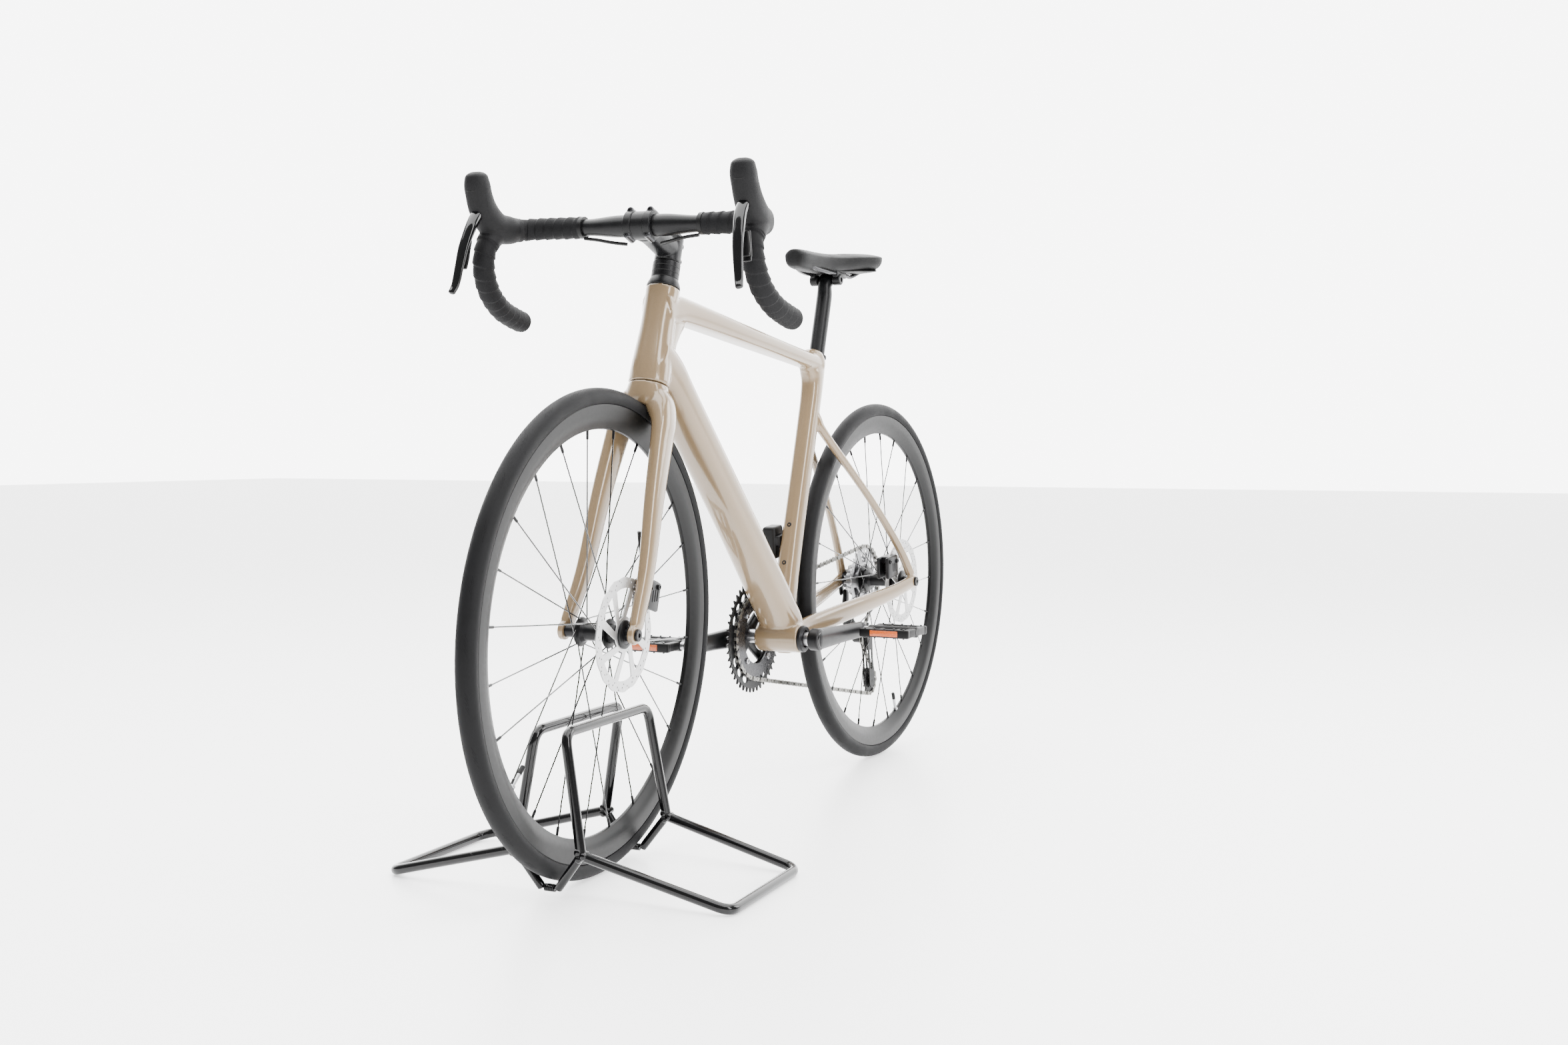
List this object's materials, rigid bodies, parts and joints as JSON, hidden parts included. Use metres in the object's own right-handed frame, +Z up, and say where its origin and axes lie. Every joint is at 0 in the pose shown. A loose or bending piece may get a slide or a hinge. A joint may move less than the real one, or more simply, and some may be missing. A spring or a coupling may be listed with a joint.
{
  "type": "bicycle on stand",
  "caption": "Drop-bar disc-brake road bicycle standing upright with its front wheel held between the hoops of a folding steel floor stand.",
  "frame": {"origin": "on the floor, at the centre of the whole object's outline (2 mm from the point midway between the two wheel centres)", "axes": "+X forward along the bicycle, +Y to the rider's left, +Z up"},
  "size_m": [1.6672, 0.5428, 0.9823],
  "materials": {
    "paint": "glossy",
    "stand_paint": "glossy, scuffed",
    "tyre": "matte",
    "rim": "satin carbon composite",
    "hub": "black anodised",
    "rotor": "brushed",
    "black_alloy": "matte black anodised",
    "tape": "matte, wrapped",
    "hood_rubber": "matte textured",
    "lever": "glossy",
    "steel": "satin",
    "chain_steel": "lightly oiled",
    "black_plastic": "satin",
    "hose": "satin",
    "saddle_cover": "matte, fine texture"
  },
  "bodies": {
    "stand": {"stand_left_half": "stand_paint", "stand_right_half": "stand_paint", "stand_spring_front": "stand_paint", "stand_spring_rear": "stand_paint"},
    "bicycle_frame": {"frame": "paint", "rear_thru_axle": "black_alloy", "seat_collar": "black_alloy", "rear_caliper": "black_alloy", "rear_derailleur": "black_plastic", "front_derailleur": "black_plastic", "chain": "chain_steel"},
    "front_end": {"fork": "paint", "front_thru_axle": "black_alloy", "headset_spacers": "black_alloy", "stem_top_cap": "black_alloy", "stem": "black_alloy", "stem_faceplate": "black_alloy", "handlebar": "black_alloy", "bar_tape_top_left": "tape", "bar_tape_top_right": "tape", "bar_tape_drop_left": "tape", "bar_tape_drop_right": "tape", "hood_left": "hood_rubber", "hood_right": "hood_rubber", "front_caliper": "black_alloy", "front_brake_hose": "hose", "bar_hose_left": "hose", "bar_hose_right": "hose"},
    "front_wheel": {"front_tyre": "tyre", "front_rim": "rim", "front_hub_and_spokes": "hub", "front_rotor": "rotor"},
    "rear_wheel": {"rear_tyre": "tyre", "rear_rim": "rim", "rear_hub_and_spokes": "hub", "rear_rotor": "rotor"},
    "cranks": {"crank_left": "black_alloy", "crank_right": "black_alloy", "chainring_outer": "black_alloy", "chainring_inner": "black_alloy"},
    "cassette": {"cassette": "steel"},
    "pedal_left": {"pedal_left": "black_plastic"},
    "pedal_right": {"pedal_right": "black_plastic"},
    "saddle_post": {"seatpost": "black_alloy", "saddle_clamp": "black_alloy", "saddle_rails": "steel", "saddle": "saddle_cover"},
    "derailleur_cage": {"derailleur_cage": "black_plastic"},
    "guide_pulley": {"guide_pulley": "black_plastic"},
    "tension_pulley": {"tension_pulley": "black_plastic"},
    "brake_lever_left": {"brake_lever_left": "lever"},
    "brake_lever_right": {"brake_lever_right": "lever"},
    "front_pad_inner": {"front_pad_inner": "steel"},
    "front_pad_outer": {"front_pad_outer": "steel"},
    "rear_pad_inner": {"rear_pad_inner": "steel"},
    "rear_pad_outer": {"rear_pad_outer": "steel"},
    "shift_paddle_front_left": {"shift_paddle_front_left": "black_plastic"},
    "shift_paddle_rear_left": {"shift_paddle_rear_left": "black_plastic"},
    "shift_paddle_front_right": {"shift_paddle_front_right": "black_plastic"},
    "shift_paddle_rear_right": {"shift_paddle_rear_right": "black_plastic"}
  },
  "joints": [
    {"name": "bike_lift", "type": "slide", "parent": "stand", "child": "front_end", "axis": [0, 0, 1], "range_m": [0, 0.35]},
    {"name": "steering", "type": "hinge", "parent": "front_end", "child": "bicycle_frame", "pos_m": [0.45952, 0, 0.32849], "axis": [0.284, 0, -0.9588], "range_deg": [-44, 50]},
    {"name": "front_wheel_spin", "type": "hinge", "parent": "front_end", "child": "front_wheel", "pos_m": [0.49492, 0.00245, 0.33898], "axis": [-0.0635, 0.9978, -0.0188], "continuous": true},
    {"name": "rear_wheel_spin", "type": "hinge", "parent": "bicycle_frame", "child": "rear_wheel", "pos_m": [-0.495, 0, 0.339], "axis": [0, 1, 0], "continuous": true},
    {"name": "crank_spin", "type": "hinge", "parent": "bicycle_frame", "child": "cranks", "pos_m": [-0.073, 0, 0.272], "axis": [0, 1, 0], "continuous": true},
    {"name": "cassette_spin", "type": "hinge", "parent": "bicycle_frame", "child": "cassette", "pos_m": [-0.495, 0, 0.339], "axis": [0, 1, 0], "continuous": true},
    {"name": "pedal_left_spin", "type": "hinge", "parent": "cranks", "child": "pedal_left", "pos_m": [-0.2455, 0.138, 0.272], "axis": [0, 1, 0], "continuous": true},
    {"name": "pedal_right_spin", "type": "hinge", "parent": "cranks", "child": "pedal_right", "pos_m": [0.0995, -0.138, 0.272], "axis": [0, 1, 0], "continuous": true},
    {"name": "seatpost_slide", "type": "slide", "parent": "bicycle_frame", "child": "saddle_post", "axis": [-0.2924, 0, 0.9563], "range_m": [-0.1, 0.04]},
    {"name": "derailleur_cage_swing", "type": "hinge", "parent": "bicycle_frame", "child": "derailleur_cage", "pos_m": [-0.507, -0.026, 0.226], "axis": [0, 1, 0], "range_deg": [0, 22], "stiffness_Nm_per_rad": 0.3, "springref_deg": -34.38, "deforming": ["chain"]},
    {"name": "guide_pulley_spin", "type": "hinge", "parent": "derailleur_cage", "child": "guide_pulley", "pos_m": [-0.507, -0.026, 0.226], "axis": [0, 1, 0], "continuous": true},
    {"name": "tension_pulley_spin", "type": "hinge", "parent": "derailleur_cage", "child": "tension_pulley", "pos_m": [-0.52, -0.026, 0.138], "axis": [0, 1, 0], "continuous": true},
    {"name": "brake_lever_left_pull", "type": "hinge", "parent": "front_end", "child": "brake_lever_left", "pos_m": [0.46568, 0.21906, 0.92303], "axis": [-0.0635, 0.9978, -0.0188], "range_deg": [0, 13], "stiffness_Nm_per_rad": 0.8, "springref_deg": -14.32},
    {"name": "brake_lever_right_pull", "type": "hinge", "parent": "front_end", "child": "brake_lever_right", "pos_m": [0.49199, -0.19403, 0.93082], "axis": [-0.0635, 0.9978, -0.0188], "range_deg": [0, 13], "stiffness_Nm_per_rad": 0.8, "springref_deg": -14.32},
    {"name": "shift_paddle_front_left_press", "type": "hinge", "parent": "brake_lever_left", "child": "shift_paddle_front_left", "pos_m": [0.4841, 0.22844, 0.87986], "axis": [-0.2708, 0.0009, 0.9626], "range_deg": [0, 4], "stiffness_Nm_per_rad": 0.2, "springref_deg": -5.73},
    {"name": "shift_paddle_rear_left_press", "type": "hinge", "parent": "brake_lever_left", "child": "shift_paddle_rear_left", "pos_m": [0.47711, 0.228, 0.87986], "axis": [-0.2708, 0.0009, 0.9626], "range_deg": [0, 4], "stiffness_Nm_per_rad": 0.2, "springref_deg": -5.73},
    {"name": "shift_paddle_front_right_press", "type": "hinge", "parent": "brake_lever_right", "child": "shift_paddle_front_right", "pos_m": [0.51155, -0.20261, 0.88799], "axis": [0.2708, -0.0009, -0.9626], "range_deg": [0, 4], "stiffness_Nm_per_rad": 0.2, "springref_deg": -5.73},
    {"name": "shift_paddle_rear_right_press", "type": "hinge", "parent": "brake_lever_right", "child": "shift_paddle_rear_right", "pos_m": [0.50457, -0.20305, 0.88799], "axis": [0.2708, -0.0009, -0.9626], "range_deg": [0, 4], "stiffness_Nm_per_rad": 0.2, "springref_deg": -5.73},
    {"name": "front_pad_inner_press", "type": "slide", "parent": "front_end", "child": "front_pad_inner", "axis": [-0.0635, 0.9978, -0.0188], "range_m": [0, 0.0008]},
    {"name": "front_pad_outer_press", "type": "slide", "parent": "front_end", "child": "front_pad_outer", "axis": [0.0635, -0.9978, 0.0188], "range_m": [0, 0.0008]},
    {"name": "rear_pad_inner_press", "type": "slide", "parent": "bicycle_frame", "child": "rear_pad_inner", "axis": [0, 1, 0], "range_m": [0, 0.0008]},
    {"name": "rear_pad_outer_press", "type": "slide", "parent": "bicycle_frame", "child": "rear_pad_outer", "axis": [0, -1, 0], "range_m": [0, 0.0008]}
  ],
  "couplings": [
    {"joint": "front_pad_inner_press", "follows": "brake_lever_left_pull", "m_per_rad": 0.003455},
    {"joint": "front_pad_outer_press", "follows": "brake_lever_left_pull", "m_per_rad": 0.003455},
    {"joint": "rear_pad_inner_press", "follows": "brake_lever_right_pull", "m_per_rad": 0.003455},
    {"joint": "rear_pad_outer_press", "follows": "brake_lever_right_pull", "m_per_rad": 0.003455},
    {"joint": "cassette_spin", "follows": "crank_spin", "ratio": 1.125},
    {"joint": "guide_pulley_spin", "follows": "crank_spin", "ratio": -3},
    {"joint": "tension_pulley_spin", "follows": "crank_spin", "ratio": 3}
  ]
}
